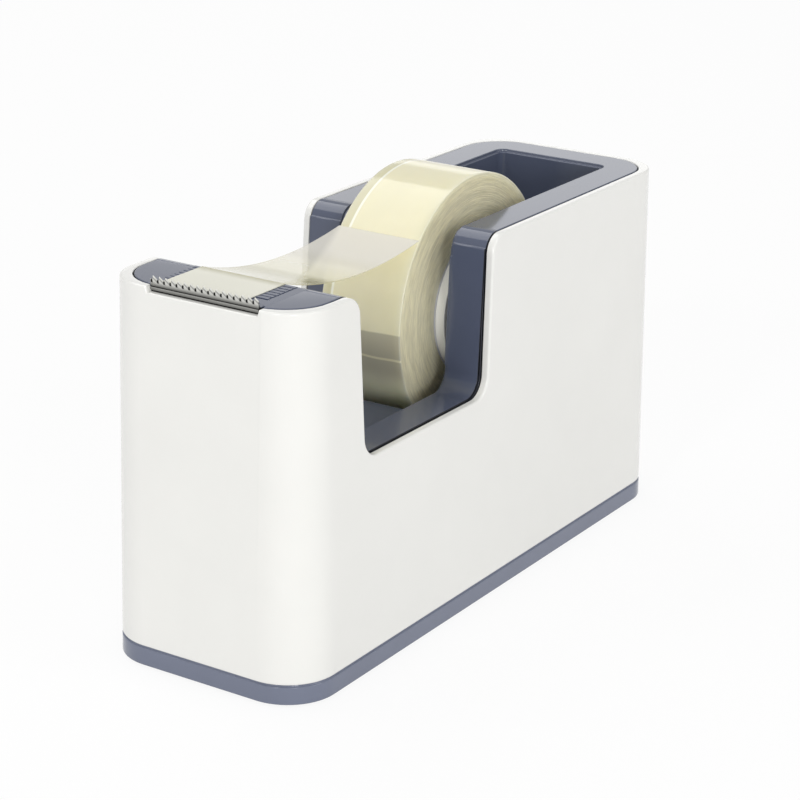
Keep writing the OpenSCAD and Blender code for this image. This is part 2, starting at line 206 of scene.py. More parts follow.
class Shade:
    """A value in a node tree. Arithmetic on it adds Math nodes; node() adds any other node."""

    def __init__(self, tree, socket=None):
        self.tree = tree
        self.socket = socket

    def node(self, kind, sockets=None, out=0, stops=None, **settings):
        """Adds a node, gives it its settings, then its socket values or links, and wraps one output."""
        made = self.tree.nodes.new(kind)
        for name, value in settings.items():
            setattr(made, name, value)
        for index, (position, colour) in enumerate(stops or ()):
            ramp = made.color_ramp.elements
            stop = ramp[index] if index < len(ramp) else ramp.new(position)
            stop.position = position
            stop.color = colour
        for name, value in (sockets or {}).items():
            if isinstance(value, Shade):
                self.tree.links.new(value.socket, made.inputs[name])
            else:
                made.inputs[name].default_value = value
        return Shade(self.tree, made.outputs[out] if made.outputs else None)

    def math(self, operation, other=0.0):
        """A Math node on this value and another."""
        return self.node("ShaderNodeMath", {0: self, 1: other}, operation=operation)

    def __add__(self, other):
        return self.math("ADD", other)

    def __mul__(self, other):
        return self.math("MULTIPLY", other)

    def __sub__(self, other):
        return self.math("SUBTRACT", other)

    def __rsub__(self, other):
        return self.node("ShaderNodeMath", {0: other, 1: self}, operation="SUBTRACT")

    __radd__ = __add__
    __rmul__ = __mul__

    def step(self, low, high):
        """0 below low, 1 above high, smooth between."""
        return self.node("ShaderNodeMapRange", {"Value": self, "From Min": low, "From Max": high},
                         interpolation_type="SMOOTHSTEP")

    def mix(self, first, second):
        """A colour between two, by this value as the factor."""
        return self.node("ShaderNodeMix", {0: self, 6: first, 7: second}, out=2, data_type="RGBA")


def new_material(name):
    """An empty material with its tree, ready for one shader."""
    made = bpy.data.materials.new(name)
    made.use_nodes = True
    made.node_tree.nodes.clear()
    return made, Shade(made.node_tree)


def surface(tree, sockets):
    """Puts a Principled shader on the material's output."""
    shader = tree.node("ShaderNodeBsdfPrincipled", sockets)
    tree.node("ShaderNodeOutputMaterial", {"Surface": shader})


def place(tree):
    """The surface point in object coordinates, whole and as x, y and z."""
    coords = tree.node("ShaderNodeTexCoord", out=3)
    parts = [coords.node("ShaderNodeSeparateXYZ", {0: coords}, out=axis) for axis in range(3)]
    return coords, parts


def noise(coords, scale, detail=2.0):
    """Noise of about 0.5 on average, with features of one over scale."""
    return coords.node("ShaderNodeTexNoise", {"Vector": coords, "Scale": scale, "Detail": detail})


def bump(height, strength):
    """A normal bent by a height."""
    return height.node("ShaderNodeBump", {"Strength": strength, "Distance": 0.2 * MM, "Height": height})


def white_gloss():
    """Glossy white moulding: faint mottling of the colour and a shallow ripple in the gloss."""
    made, tree = new_material("white_gloss")
    coords, _ = place(tree)
    cloud = noise(coords, 60.0, 3.0)
    colour = sizes("shell").colour
    tone = cloud.mix(shaded(colour, 0.985), shaded(colour, 1.01))
    surface(tree, {"Base Color": tone, "Roughness": cloud * 0.06 + 0.17, "IOR": 1.5,
                   "Normal": bump(noise(coords, 2600.0), 0.035), "Coat Weight": 0.25, "Coat Roughness": 0.06})
    return made


def slate_satin(name, colour, gap_shade_outline=None):
    """Satin blue-grey moulding with a faint cloud in its colour and a fine grain in its gloss. The last
    argument is the half width, half length and corner radius of an outline, beyond which the moulding is
    painted dark as shade in the gap between liner and shell."""
    made, tree = new_material(name)
    coords, (x, y, _) = place(tree)
    cloud = noise(coords, 90.0, 3.0)
    tone = cloud.mix(shaded(colour, 0.97), shaded(colour, 1.03))
    if gap_shade_outline:
        wide, long, r = gap_shade_outline
        off_x = (x.math("ABSOLUTE") - (wide - r)).math("MAXIMUM")
        off_y = (y.math("ABSOLUTE") - (long - r)).math("MAXIMUM")
        past = (off_x * off_x + off_y * off_y).math("SQRT") - r
        # Painted shade: past the outline the moulding turns dark, standing in for the shade in the gap
        # between liner and shell
        tone = past.step(-0.02 * MM, 0.04 * MM).mix(tone, shaded(colour, 0.4))
    surface(tree, {"Base Color": tone, "Roughness": cloud * 0.04 + 0.09, "IOR": 1.5,
                   "Normal": bump(noise(coords, 3800.0), 0.008)})
    return made


def ground_steel():
    """Bright steel with grinding marks that run up the blade in its roughness and bump. Its colour holds
    painted light and shade: painted shade on the lip, a dark line of painted shadow where the face meets it,
    painted light towards the teeth, slanting strokes of painted shade on the face and a dot of painted shade
    under each notch."""
    made, tree = new_material("ground_steel")
    coords, (x, _, z) = place(tree)
    stretched = coords.node("ShaderNodeMapping", {"Vector": coords, "Scale": (9000.0, 400.0, 300.0)})
    marks = noise(stretched, 1.0, 3.0)
    b = sizes("blade")
    below = 1.0 * MM
    share = z.node("ShaderNodeMapRange", {"Value": z, "From Min": BLADE_ROOT - below,
                                          "From Max": BLADE_ROOT + b.reach})
    # Heights above the root in millimetres, each with its share of the steel's colour: painted shade on the
    # lip and in a dark line at the root, painted light towards the teeth
    painted_levels = ((-1.0, 0.36), (-0.7, 0.55), (-0.15, 0.76), (-0.05, 0.16), (0.06, 0.48), (0.3, 0.68), (0.9, 1.0),
              (b.reach / MM, 1.16))
    stops = [((h * MM + below) / (below + b.reach), shaded(b.colour, level)) for h, level in painted_levels]
    tone = tree.node("ShaderNodeValToRGB", {0: share}, stops=stops)
    left, right = blade_ends()
    phase = (x - left) * (b.teeth / (right - left))
    rake = 1.1 * MM
    # Slanting strokes of painted shade on the toothed face
    slant = (phase + (z - BLADE_ROOT) * (1 / rake)).math("FRACT")
    tooth_shade = (slant - 0.5).math("ABSOLUTE").step(0.24, 0.42)
    tooth_shade = tooth_shade * z.step(BLADE_ROOT + 0.5 * MM, BLADE_ROOT + 1.0 * MM)
    # A dot of painted shade under each notch
    off = 0.5 - ((phase - TOOTH_NOTCH).math("FRACT") - 0.5).math("ABSOLUTE")
    notch_shade = (z - (BLADE_ROOT + b.reach - b.tooth_depth)).step(-0.50 * MM, -0.30 * MM)
    notch_shade = notch_shade * (1.0 - off.step(0.10, 0.20))
    tone = (tooth_shade * 0.6).mix(tone, shaded(b.colour, 0.5))
    tone = notch_shade.mix(tone, shaded(b.colour, 0.10))
    surface(tree, {"Base Color": tone, "Metallic": 0.9, "Roughness": marks * 0.2 + 0.26,
                   "Normal": bump(marks, 0.1)})
    return made


def clouded(name, scale, detail, dark, light, rough, strength, fixed=None):
    """A material whose colour, roughness and bump follow one cloud of noise. The colour goes from dark to
    light, and the roughness is the cloud times the first value of rough, plus the second."""
    made, tree = new_material(name)
    coords, _ = place(tree)
    cloud = noise(coords, scale, detail)
    surface(tree, {"Base Color": cloud.mix(dark, light), "Roughness": cloud * rough[0] + rough[1],
                   "Normal": bump(cloud, strength), **(fixed or {})})
    return made


def plain_steel(name, colour, rough):
    """Plated or raw metal with a cloudy roughness."""
    dark, light = shaded(colour, 0.85), linear(colour)
    return clouded(name, 700.0, 4.0, dark, light, (0.2, rough), 0.15, {"Metallic": 1.0})


def soft_rubber():
    """Black rubber with a fine pebble."""
    dark, light = linear((0.10, 0.10, 0.105)), linear((0.16, 0.16, 0.165))
    return clouded("soft_rubber", 2400.0, 3.0, dark, light, (0.15, 0.65), 0.3)


def pale_plastic(name, colour):
    """Pale satin moulding."""
    dark, light = shaded(colour, 0.95), linear(colour)
    return clouded(name, 300.0, 3.0, dark, light, (0.12, 0.34), 0.05, {"IOR": 1.48})


def wound_tape():
    """Clear yellowish tape wound in layers, glossy round the outside. There a darker band along the far side
    stands for the far edge seen through the tape, with a painted highlight line at its border. The sides have
    fine wavering rings and a painted highlight ring near their outer edge.
    Below the level of the axle the outside has a zone of painted shade that fades downwards into painted
    light, with two thin pale lines of painted reflection across it."""
    made, tree = new_material("wound_tape")
    coords, (x, y, z) = place(tree)
    ahead, under = float(AXLE_Y) - y, float(AXLE_Z) - z
    radius = (ahead * ahead + under * under).math("SQRT")
    angle = under.math("ARCTAN2", ahead)
    colour = sizes("tape").roll_colour

    # Painted: a darker band along the far side stands for the far edge seen through the clear tape, with a
    # painted highlight line at its border
    border = float(ROLL_LOW[0]) + 2.3 * MM
    band = 1.0 - x.step(border - 0.2 * MM, border)
    line = 1.0 - (x - border).math("ABSOLUTE").step(0.12 * MM, 0.42 * MM)
    wrap = noise(coords, 120.0).mix(shaded(colour, 0.97), shaded(colour, 1.02))
    wrap = band.mix(wrap, shaded(colour, (0.905, 0.905, 0.885)))
    wrap = line.mix(wrap, shaded(colour, (1.07, 1.08, 1.16)))

    # Painted shade below the axle's level stands for the deck's shadow and the dark liner mirrored in the
    # tape; lower down painted light lifts the colour again
    waver = 5.0
    degrees = angle * (180.0 / math.pi) + noise(coords, 60.0, 1.0) * waver - waver / 2
    painted_shade_zone = degrees.step(0.5, 1.5) * (1.0 - degrees.step(14.0, 32.0))
    wrap = painted_shade_zone.mix(wrap, shaded(colour, (0.84, 0.84, 0.86)))
    wrap = degrees.step(16.0, 34.0).mix(wrap, shaded(colour, 1.08))
    # Two thin pale lines of painted reflection across the shaded zone
    crease = 0.0
    for reflection_line_at in (11.8, 29.5):
        crease = (1.0 - (degrees - reflection_line_at).math("ABSOLUTE").step(0.2, 0.8)) + crease
    wrap = (crease * 0.7).mix(wrap, shaded(colour, 1.05))

    side = 1.0 - radius.step(ROLL_R - 0.3 * MM, ROLL_R - 0.12 * MM)
    # Painted highlight: a slightly lighter ring near the outer edge of each side
    rim = radius.step(ROLL_R - 0.26 * MM, ROLL_R - 0.16 * MM)
    ringed = tree.node("ShaderNodeCombineXYZ", {0: radius, 1: angle * 0.0016, 2: x * 0.2})
    rings, bands = noise(ringed, 5200.0), noise(ringed, 1100.0, 3.0)
    layer = (rings * 0.55 + bands * 0.45).step(0.3, 0.7)
    edge = layer.mix(shaded(colour, (0.88, 0.875, 0.87)), shaded(colour, (1.01, 1.005, 1.0)))
    edge = rim.mix(edge, shaded(colour, 1.01))
    surface(tree, {"Base Color": side.mix(wrap, edge), "Roughness": side * 0.36 + 0.12, "IOR": 1.45,
                   "Subsurface Weight": 0.6, "Subsurface Radius": (1.0, 0.95, 0.8), "Subsurface Scale": 0.005,
                   "Normal": bump(rings * side, 0.12)})
    return made


def clear_film():
    """Single film of tape: clear in the free span, denser on the near side of a slanting line and whiter and
    denser towards the roll, both painted reflection, and densest where it lies on the deck."""
    made, tree = new_material("clear_film")
    coords, (x, y, _) = place(tree)
    t = sizes("tape")
    low, high = float(STRIP_LOW[0]), float(STRIP_HIGH[0])
    across = (x - low) * (1 / (high - low))
    peel, slant = float(AXLE_Y + ROLL_R * math.cos(t.peel)), 48.0 * MM
    # Painted reflection: denser on the near side of a slanting line
    reflection_wedge = (y - peel + across * slant).step(-3.0 * MM, 3.0 * MM)
    deck = 1.0 - y.step(t.land - 3.0 * MM, t.land + 2.0 * MM)
    # Painted reflection: whiter and denser towards the roll
    roll_reflection = y.step(t.land + 14.0 * MM, t.land + 34.0 * MM)
    tone = deck.mix(linear(t.film_colour), shaded(t.film_colour, (1.18, 1.21, 1.50)))
    tone = roll_reflection.mix(tone, shaded(t.film_colour, (1.16, 1.18, 1.50)))
    surface(tree, {"Base Color": tone, "Roughness": noise(coords, 160.0) * 0.05 + 0.08, "IOR": 1.6,
                   "Alpha": deck * 0.50 + roll_reflection * 0.10 + reflection_wedge * (1.0 - deck) * 0.25 + 0.42})
    return made


# Meshes

def arc(centre, radius, start, end, count):
    """Points centre + radius * (cos a, sin a), for count angles a from start to end in radians."""
    a = np.linspace(start, end, count)
    return np.stack([centre[0] + radius * np.cos(a), centre[1] + radius * np.sin(a)], -1)


def unit(v):
    """Vectors scaled to length 1."""
    return v / np.maximum(np.linalg.norm(v, axis=-1, keepdims=True), 1e-12)


def fill(columns, along, step):
    """Rows of columns with more rows put in by straight interpolation, so that none is further than
    step from the next, measured between the points in along."""
    gaps = np.linalg.norm(np.diff(along, axis=0), axis=1)
    counts = np.maximum(1, np.ceil(gaps / step).astype(int))
    start = np.repeat(np.arange(len(gaps)), counts)
    share = np.concatenate([np.arange(c) / c for c in counts])[:, None]
    rows = columns[start] * (1 - share) + columns[start + 1] * share
    return np.vstack([rows, columns[-1:]])


def grid_faces(rows, cols, wrap_rows, wrap_cols):
    """Quads of a grid of points, wrapped round in either direction where asked."""
    r, c = np.meshgrid(np.arange(rows if wrap_rows else rows - 1), np.arange(cols if wrap_cols else cols - 1),
                       indexing="ij")
    r2, c2 = (r + 1) % rows, (c + 1) % cols
    return np.stack([r * cols + c, r2 * cols + c, r2 * cols + c2, r * cols + c2], -1).reshape(-1, 4)


def end_caps(rows, cols, wrap_rows):
    """Quads over the two open ends of a grid whose section goes out and comes back, so that point i of n
    lies across from point n - 1 - i."""
    index = np.arange(rows * cols).reshape(rows, cols)
    first, last = (index[:, -1], index[:, 0]) if wrap_rows else (index[0], index[-1])
    n = len(first)
    i = np.arange(n // 2 - 1)
    quads = np.stack([i, i + 1, n - 2 - i, n - 1 - i], -1)
    return np.vstack([first[quads], last[quads[:, ::-1]]])


def volume(points, quads):
    """Signed volume inside a closed surface of quads, as the sum of its tetrahedra from the origin."""
    a, b, c, d = (points[quads[:, k]] for k in range(4))
    return (np.einsum("ij,ij->i", a, np.cross(b, c)) + np.einsum("ij,ij->i", a, np.cross(c, d))).sum() / 6


def new_object(name, data):
    """An object for its data, linked into the scene."""
    made = bpy.data.objects.new(name, data)
    bpy.context.scene.collection.objects.link(made)
    return made


def standing(spot, axes):
    """The matrix of an object at a spot, whose own x, y and z lie along the columns of axes."""
    return Matrix.Translation(spot) @ Matrix(axes.tolist()).to_4x4()


def add_piece(name, grid, body, material, replaced=(), wrap_rows=True, wrap_cols=True):
    """A new piece from a grid of points: closed by its wraps or end caps, faces outwards, smooth but for
    creases above 30 degrees, riding on a body."""
    rows, cols = grid.shape[:2]
    points = grid.reshape(-1, 3)
    quads = grid_faces(rows, cols, wrap_rows, wrap_cols)
    if not (wrap_rows and wrap_cols):
        quads = np.vstack([quads, end_caps(rows, cols, wrap_rows)])
    if volume(points, quads) < 0:
        quads = quads[:, ::-1]
    mesh = bpy.data.meshes.new(name)
    mesh.from_pydata(points, [], quads)
    mesh.polygons.foreach_set("use_smooth", np.ones(len(quads), bool))
    mesh.update()
    mesh.set_sharp_from_angle(angle=math.radians(30))
    return dress(new_object(name, mesh), body, material, replaced)


def dress(made, body, material, replaced):
    """Gives a piece its material and body, and hides what it stands for."""
    made.data.materials.clear()
    made.data.materials.append(material)
    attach(made, body)
    if replaced:
        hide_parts(*replaced)
    return made


def soften(made, bevel):
    """Bevels a piece's sharp edges and keeps its large faces flat."""
    soft = made.modifiers.new("soft_edge", "BEVEL")
    soft.width = bevel
    soft.segments = 2
    soft.limit_method = "ANGLE"
    soft.angle_limit = math.radians(35)
    soft.use_clamp_overlap = False
    flatten = made.modifiers.new("flat_faces", "WEIGHTED_NORMAL")
    flatten.mode = "FACE_AREA"
    flatten.weight = 100
    return made


def soft_copy(name, node, bevel, body, material):
    """A merged copy of a rigid node with its edges bevelled, as a moulding or a turned piece has them."""
    same_spot, same_plane = 0.002 * MM, math.radians(0.4)
    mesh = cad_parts[node].data.copy()
    mesh.name = name
    bm = bmesh.new()
    bm.from_mesh(mesh)
    bmesh.ops.remove_doubles(bm, verts=bm.verts, dist=same_spot)
    bmesh.ops.dissolve_limit(bm, angle_limit=same_plane, verts=bm.verts, edges=bm.edges)
    bm.to_mesh(mesh)
    bm.free()
    mesh.polygons.foreach_set("use_smooth", np.ones(len(mesh.polygons), bool))
    return soften(dress(new_object(name, mesh), body, material, (node,)), bevel)


def cut_line(s):
    """Side view of the rim along the U-shaped cut, as (y, z) from front to rear: shoulder arc, leaning
    edge, lower corner arc, floor, and the same in mirror order at the rear; and the points in each arc."""
    lean, count = s.cut_lean, 14
    c, t = math.cos(lean), math.tan(lean)
    low_z, high_z = s.cut_floor + s.cut_low_r, TOP_Z - s.cut_top_r
    front = [s.cut_front - (z - s.cut_floor) * t for z in (low_z, high_z)]
    rear = [s.cut_rear + (z - s.cut_floor) * t for z in (low_z, high_z)]
    return np.vstack([
        arc((front[1] - s.cut_top_r / c, high_z), s.cut_top_r, QUARTER, lean, count),
        arc((front[0] + s.cut_low_r / c, low_z), s.cut_low_r, 2 * QUARTER + lean, 3 * QUARTER, count),
        arc((rear[0] - s.cut_low_r / c, low_z), s.cut_low_r, 3 * QUARTER, 4 * QUARTER - lean, count),
        arc((rear[1] + s.cut_top_r / c, high_z), s.cut_top_r, 2 * QUARTER - lean, QUARTER, count)]), count


def top_half(s):
    """Half width and half length of the shell's outer face at the top, inside its box by the draft."""
    return SHELL_HIGH[:2] - s.draft * (TOP_Z - BASE_TOP) / TOP_Z


def rim_path(s):
    """The shell's rim as a closed path on its outer face. Each row holds the plan point at the top, the
    wall's outward normal, the height, and the plan point that the row comes down to at the base. Along
    the cut the feet fan out, so that the rows of the wall never cross the opening."""
    half_w, half_l = top_half(s)
    r = s.corner
    mid = (BLADE_LOW[0] + BLADE_HIGH[0]) / 2
    margin, apart, row_gap = 0.1 * MM, 0.5 * MM, 3.0 * MM
    reach = s.notch_half + s.notch_slope
    stops = mid + np.array([-reach, -s.notch_half, s.notch_half, reach])
    xs = stops[np.abs(stops) < half_w - r - margin]
    ones = np.ones(len(xs))
    front = np.column_stack([xs, -half_l * ones, 0 * ones, -ones, TOP_Z * ones, xs, -half_l * ones])
    bends = -np.arccos(np.clip((np.abs(stops) - half_w + r) / r, 0.0, 1.0))
    a = np.unique(np.concatenate([np.linspace(-QUARTER, 0, 16), bends]).round(6))
    out = np.column_stack([np.cos(a), np.sin(a)])
    plan = np.array([half_w - r, r - half_l]) + r * out
    corner = np.column_stack([plan, out, np.full(len(a), TOP_Z), plan])
    line, n = cut_line(s)
    run = np.concatenate([[0], np.cumsum(np.linalg.norm(np.diff(line, axis=0), axis=1))])
    arc_ends = [k * n + j for k in range(4) for j in (0, n - 1)]
    spread = 0.3 * (TOP_Z - s.cut_floor)
    near, far = 0.7 * spread, 0.9 * spread
    first = max(line[0, 0] - far, r - half_l + apart)
    second = max(line[0, 0] - near, first + apart)
    feet = np.interp(run, run[arc_ends], [first, second, line[n, 0] - apart, line[n, 0] + apart,
                                          line[3 * n - 1, 0] - apart, line[3 * n - 1, 0] + apart,
                                          line[-1, 0] + near, line[-1, 0] + far])
    ones = np.ones(len(line))
    side = np.column_stack([half_w * ones, line[:, 0], ones, 0 * ones, line[:, 1], half_w * ones, feet])
    back = corner[::-1] * np.array([1, -1, 1, -1, 1, 1, -1])
    right = np.vstack([corner, side, back])
    left = right[::-1] * np.array([-1, 1, -1, 1, 1, -1, 1])
    path = np.vstack([front, right, left, front[:1]])
    notch = s.notch_depth * np.clip((reach - np.abs(path[:, 0] - mid)) / s.notch_slope, 0.0, 1.0)
    path[:, 4] -= np.where(path[:, 1] < r - half_l, notch, 0.0)
    return fill(path, path[:, [0, 1, 4]], row_gap)[:-1]


def wall_depth(s, path):
    """Wall thickness at each row of the rim's path: the plain wall, or in a corner the way along the
    normal to the inner corner's circle, which is rounder than the outer one."""
    r = s.corner - s.wall + s.ease
    plan, normal = path[:, 0:2], path[:, 2:4]
    centre = np.sign(plan) * (top_half(s) - s.wall - r)
    off = plan - centre
    inside = plan - s.wall * normal
    cornered = (np.abs(inside) > np.abs(centre)).all(axis=1)
    along = (off * normal).sum(axis=1)
    depth = along - np.sqrt(np.maximum(along ** 2 - (off ** 2).sum(axis=1) + r * r, 0.0))
    return np.where(cornered, depth, s.wall)


def shell_grid(s):
    """The shell's profile carried along its rim: its foot with a rounded lip, the outer face, the rim's outer
    rounding, land and inner rounding, and the inner face. The last ring joins the first inside the wall."""
    path = rim_path(s)
    wall = wall_depth(s, path)
    normal = unit(np.column_stack([path[:, 2:4], np.full(len(path), s.draft / TOP_Z)]))

    def on_wall(plan, z):
        """Points of the outer face at a height, from the plan at the top and the wall's draft."""
        out = s.draft * (1 - z / TOP_Z)
        return np.column_stack([plan + path[:, 2:4] * out[:, None], z])

    def inwards(b):
        """The way from the outer face to b inside it."""
        return normal * np.broadcast_to(b, len(path))[:, None]

    rim = on_wall(path[:, 0:2], path[:, 4])
    ahead = unit(np.roll(rim, -1, axis=0) - rim)
    along = ahead + np.roll(ahead, 1, axis=0)
    along = unit(along - normal * np.einsum("ij,ij->i", along, normal)[:, None])
    into = np.cross(along, normal)

    def rim_ring(a, b):
        """A ring that lies a below the rim, along the wall, and b inside the outer face."""
        return rim + into * a - inwards(b)

    def foot_ring(up, b):
        """A ring that lies up above the wall's foot and b inside the outer face."""
        return on_wall(path[:, 5:7], np.full(len(path), BASE_TOP + up)) - inwards(b)

    lip, guard, deep = 0.3 * MM, 0.25 * MM, 3.5 * MM
    coarse, fine = (np.linspace(0, QUARTER, count) for count in (4, 9))
    low = foot_ring(lip + guard, 0.0)
    high = rim_ring(s.round_out + guard, 0.0)
    rings = [foot_ring(0.0, wall), foot_ring(0.0, lip + guard)]
    rings += [foot_ring(lip * (1 - math.cos(a)), lip * (1 - math.sin(a))) for a in coarse]
    rings += [low * (1 - t) + high * t for t in np.linspace(0, 1, 9)]
    rings += [rim_ring(s.round_out * (1 - math.sin(a)), s.round_out * (1 - math.cos(a))) for a in fine]
    rings += [rim_ring(0.0, wall - s.round_in - guard / 4)]
    rings += [rim_ring(s.round_in * (1 - math.cos(a)), wall - s.round_in * (1 - math.sin(a))) for a in coarse]
    rings += [rim_ring(s.round_in + guard, wall), rim_ring(deep, wall)]
    return np.stack(rings)


def about_axle(profile, count):
    """A closed profile of (x, radius) turned about the axle's line."""
    a = np.linspace(0, 2 * math.pi, count, endpoint=False)
    x = np.repeat(profile[:, :1], count, axis=1)
    y = AXLE_Y + profile[:, 1:] * np.cos(a)
    z = AXLE_Z + profile[:, 1:] * np.sin(a)
    return np.stack([x, y, z], -1)


def roll_profile(t):
    """Section of the wound tape: uneven rings on both sides, round outer edges and a smooth outer face."""
    low, high = ROLL_LOW[0], ROLL_HIGH[0]
    inner, edge = CORE_R + 0.06 * MM, 0.18 * MM
    radii = np.linspace(inner, ROLL_R - edge, t.layers * 2)
    wander = np.random.default_rng(7).uniform(0, t.ripple, (2, len(radii)))
    wander[:, -1] = 0
    a = np.linspace(0, QUARTER, 6)[1:]
    inset, round_r = edge * (1 - np.cos(a)), ROLL_R - edge * (1 - np.sin(a))
    across = np.linspace(high - edge, low + edge, 12)[1:-1]
    right = np.column_stack([high - wander[0], radii])
    over = np.column_stack([high - inset, round_r])
    face = np.column_stack([across, np.full(len(across), ROLL_R)])
    back = np.column_stack([low + inset, round_r])
    left = np.column_stack([low + wander[1], radii])
    return np.vstack([right, over, face, back[::-1], left[::-1]])


def ring_profile(low, high, inner, outer, edge):
    """Section of a plain ring with rounded edges, as (x, radius)."""
    corners = [((high - edge, outer - edge), 0), ((low + edge, outer - edge), 1),
               ((low + edge, inner + edge), 2), ((high - edge, inner + edge), 3)]
    return np.vstack([arc(c, edge, k * QUARTER, (k + 1) * QUARTER, 5) for c, k in corners])


def film_grid(t):
    """The free tape as a thin closed strip. Its side view is a cubic curve from the roll down to the deck,
    then a straight line to the cutter. It is carried across the tape's width, below and above."""
    off_roll, off_ribs = 0.3 * MM, 0.03 * MM
    r = ROLL_R + off_roll
    start = np.array([AXLE_Y + r * math.cos(t.peel), AXLE_Z + r * math.sin(t.peel)])
    land = np.array([t.land, TOP_Z + sizes("liner").rib_rise + off_ribs])
    tip = np.array([STRIP_LOW[1], land[1]])
    mid = (start[0] + land[0]) / 2
    handle_z = (start[1] + land[1]) / 2 - 4 * t.sag / 3
    h1 = np.array([mid + (start[0] - mid) / 3, handle_z])
    h2 = np.array([mid + (land[0] - mid) / 3, handle_z])
    deck_rows, cols = 20, 15
    u = np.linspace(0, 1, FREE_ROWS)[:, None]
    curve = (1 - u) ** 3 * start + 3 * u * (1 - u) ** 2 * h1 + 3 * u * u * (1 - u) * h2 + u ** 3 * land
    line = np.vstack([curve, land + (tip - land) * np.linspace(0, 1, deck_rows)[1:, None]])
    xs = np.linspace(STRIP_LOW[0], STRIP_HIGH[0], cols)
    around = np.concatenate([xs, xs[::-1]])
    lift = np.repeat([0.0, t.film], cols)
    shape = (len(line), len(around))
    return np.stack([np.broadcast_to(around, shape), np.broadcast_to(line[:, :1], shape),
                     line[:, 1:] + lift], -1)


def blade_ends():
    """Left and right ends of the cutter along X: past its box on the left, short of it on the right."""
    past, short = 0.4 * MM, 0.1 * MM
    return float(BLADE_LOW[0]) - past, float(BLADE_HIGH[0]) - short


def tooth_rise(phase):
    """Height of a raked tooth from 0 to 1: up from the notch to the tip, then down to the next notch."""
    along = (phase - TOOTH_NOTCH) % 1.0
    rise = TOOTH_TIP - TOOTH_NOTCH
    return np.where(along < rise, along / rise, (1 - along) / (1 - rise))


def blade_grid(b):
    """The cutter: the section of a bent strip carried along X. The web goes up behind the shell, a lip steps
    forward, and the toothed face above it ends in raked teeth with a ground bevel along their edges."""
    left, right = blade_ends()
    # Stations along one tooth, closer together near its notch and its tip
    marks = np.array([0, 0.07, 0.14, 0.21, 0.26, 0.33, 0.40, 0.45, 0.5, 0.57, 0.66, 0.75, 0.85, 0.93])
    phase = np.append((np.arange(b.teeth)[:, None] + marks).ravel(), b.teeth)
    xs = left + (right - left) * phase / b.teeth
    web_back = BLADE_HIGH[1]
    web = web_back - b.thick
    face = web - b.ahead
    tip = b.reach - b.tooth_depth * (1 - tooth_rise(phase))
    reach = np.linspace(0, 1, 18)[:, None] * tip
    bevel, least, thinning = 0.3 * MM, 0.06 * MM, 0.7
    ground = b.grind * np.clip(1 - (tip - reach) / bevel, 0, 1)
    lean = reach * math.tan(b.lean)
    depth = np.maximum(b.thick * (1 - thinning * reach / b.reach), ground + least)
    front = np.stack([face - lean + ground, BLADE_ROOT + reach], -1)
    rear = np.stack([face - lean + depth, BLADE_ROOT + reach], -1)
    step, bend, soft, groove = 0.22 * MM, 0.1 * MM, 0.12 * MM, 0.02 * MM
    lip, low = face - step, BLADE_ROOT - b.lip
    foot = np.array([[web, BLADE_LOW[2]], [web, low - bend], [lip + soft, low], [lip, low + soft],
                     [lip, BLADE_ROOT - 2 * bend], [lip + bend, BLADE_ROOT - 0.8 * bend],
                     [face + 1.6 * bend, BLADE_ROOT - groove]])
    back_z = [BLADE_LOW[2], low - bend, low + bend, low + 2 * bend,
              BLADE_ROOT - 4 * bend, BLADE_ROOT - 3 * bend]
    heel = np.vstack([np.column_stack([np.full(len(back_z), web_back), back_z]),
                      [[face + b.thick, BLADE_ROOT - groove]]])

    def straight(points):
        """Section points that stay the same all along X."""
        return np.repeat(points[:, None], len(xs), axis=1)

    section = np.concatenate([straight(foot), front, rear[::-1], straight(heel[::-1])])
    x = np.broadcast_to(xs, section.shape[:2])
    return np.concatenate([x[..., None], section], -1)


def along_x(outer, inner, low, high):
    """A band between two curves of (y, z), one point of each across from the other, carried along X."""
    loop = np.vstack([outer, inner[::-1]])
    x = np.broadcast_to(np.array([low, high]), (len(loop), 2))
    return np.concatenate([x[..., None], np.repeat(loop[:, None], 2, axis=1)], -1)


def bar_grid(y, z, x, edge):
    """A bar along X between two values each of y, z and x, with its upper edges rounded. A point a little
    way on from each rounding keeps the top flat in its shading."""
    rise = arc((y[0] + edge, z[1] - edge), edge, math.pi, QUARTER, 5)
    flat = [[y[0] + 1.5 * edge, z[1]]]
    near = np.vstack([[[y[0], z[0]]], rise, flat])
    far = near * (-1, 1) + (y[0] + y[1], 0)
    return along_x(near, far, *x)


